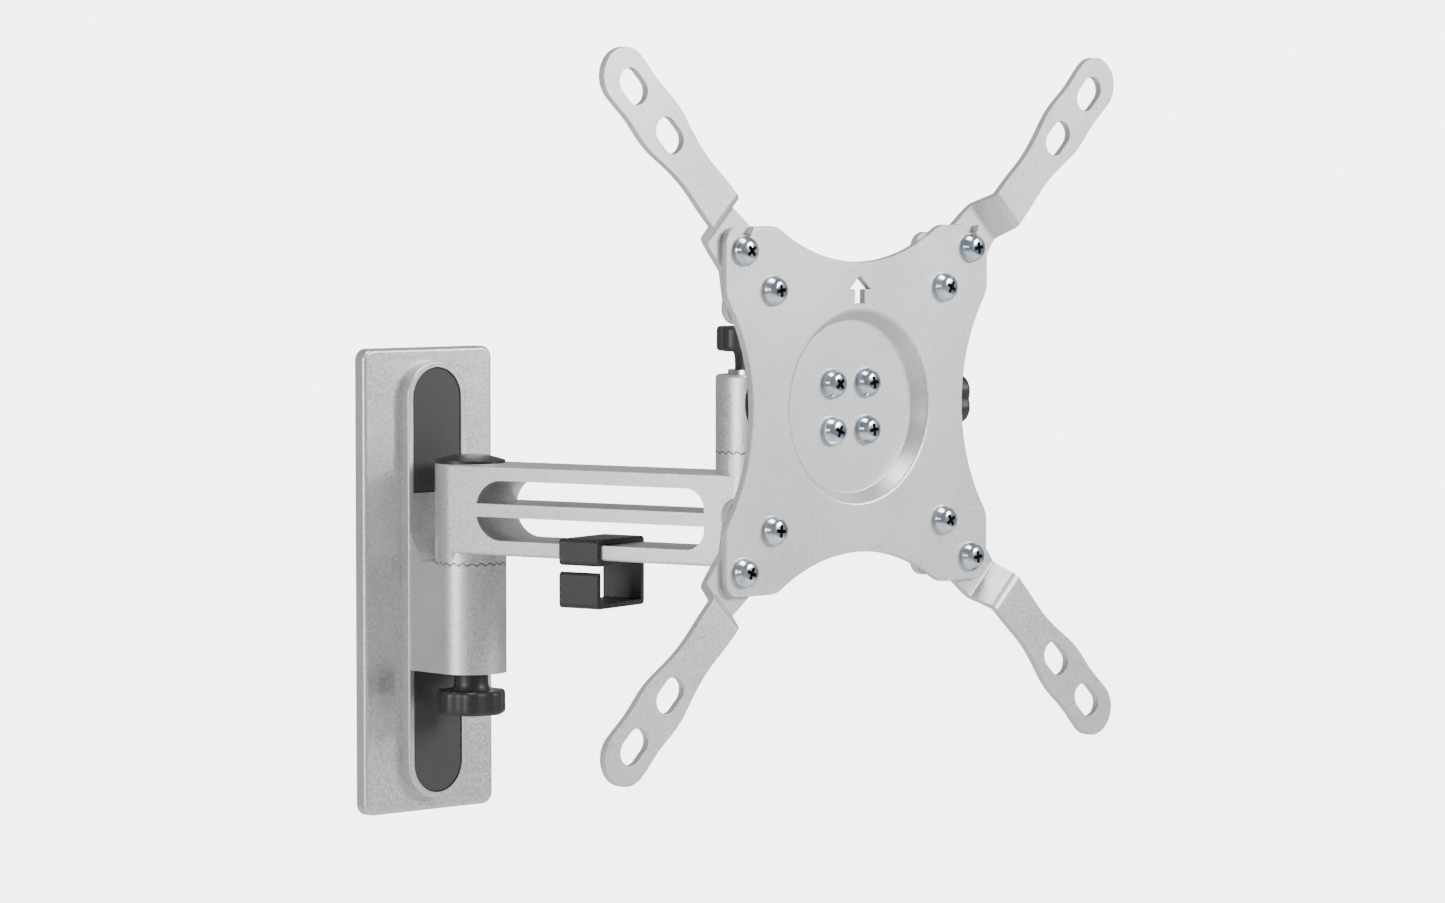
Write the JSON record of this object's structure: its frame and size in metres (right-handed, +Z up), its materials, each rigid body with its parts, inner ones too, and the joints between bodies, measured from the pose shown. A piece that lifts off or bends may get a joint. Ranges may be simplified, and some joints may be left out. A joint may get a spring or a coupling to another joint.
{
  "type": "full motion tv wall mount",
  "caption": "Full motion TV wall mount: wall bracket, one slotted swing arm, swivel and tilt head, VESA plate with bolt-on adapters, lock knobs and a cable clip.",
  "frame": {"origin": "middle of the wall bracket's back face, on the wall", "axes": "+X to the right as seen from the room, +Y into the wall, +Z up"},
  "size_m": [0.2238, 0.1902, 0.2549],
  "materials": {
    "casting": "satin",
    "sheet": "satin",
    "cover_plastic": "matte",
    "black_plastic": "satin",
    "zinc": "gloss"
  },
  "bodies": {
    "wall": {"wall_bracket": "casting", "upper_cover": "cover_plastic", "lower_cover": "cover_plastic"},
    "arm": {"swing_arm": "casting", "wall_pivot_cap": "black_plastic", "wall_pivot_nut": "zinc", "head_pivot_nut": "zinc"},
    "clip": {"cable_clip": "black_plastic"},
    "head": {"head_knuckle": "casting", "tilt_cap": "black_plastic", "tilt_nut": "zinc", "head_washer": "zinc"},
    "screen": {"tilt_bracket": "casting", "vesa_plate": "sheet", "centre_screws": "zinc", "adapter_screws": "zinc", "adapter_upper_left": "sheet", "adapter_upper_right": "sheet", "adapter_lower_left": "sheet", "adapter_lower_right": "sheet", "tilt_washer": "zinc"},
    "wall_lock": {"wall_knob": "black_plastic", "wall_stud": "zinc"},
    "head_lock": {"head_knob": "black_plastic", "head_stud": "zinc"},
    "tilt_lock": {"tilt_knob": "black_plastic", "tilt_stud": "zinc"}
  },
  "joints": [
    {"name": "arm_swing", "type": "hinge", "parent": "wall", "child": "arm", "pos_m": [0, -0.027, 0], "axis": [0, 0, 1], "range_deg": [-105, 75]},
    {"name": "head_swivel", "type": "hinge", "parent": "arm", "child": "head", "pos_m": [0.02899, -0.13518, 0], "axis": [0, 0, -1], "range_deg": [-105, 75]},
    {"name": "tilt", "type": "hinge", "parent": "head", "child": "screen", "pos_m": [0.02899, -0.15818, 0.064], "axis": [1, 0, 0], "range_deg": [-15, 15]},
    {"name": "clip_slide", "type": "slide", "parent": "arm", "child": "clip", "axis": [0.2588, -0.9659, 0], "range_m": [-0.0245, 0.0325]},
    {"name": "wall_lock_turn", "type": "hinge", "parent": "wall", "child": "wall_lock", "pos_m": [0, -0.027, -0.03], "axis": [0, 0, 1], "continuous": true},
    {"name": "head_lock_turn", "type": "hinge", "parent": "head", "child": "head_lock", "pos_m": [0.02899, -0.13518, 0.073], "axis": [0, 0, 1], "continuous": true},
    {"name": "tilt_lock_turn", "type": "hinge", "parent": "screen", "child": "tilt_lock", "pos_m": [0.02899, -0.15818, 0.064], "axis": [1, 0, 0], "continuous": true}
  ]
}
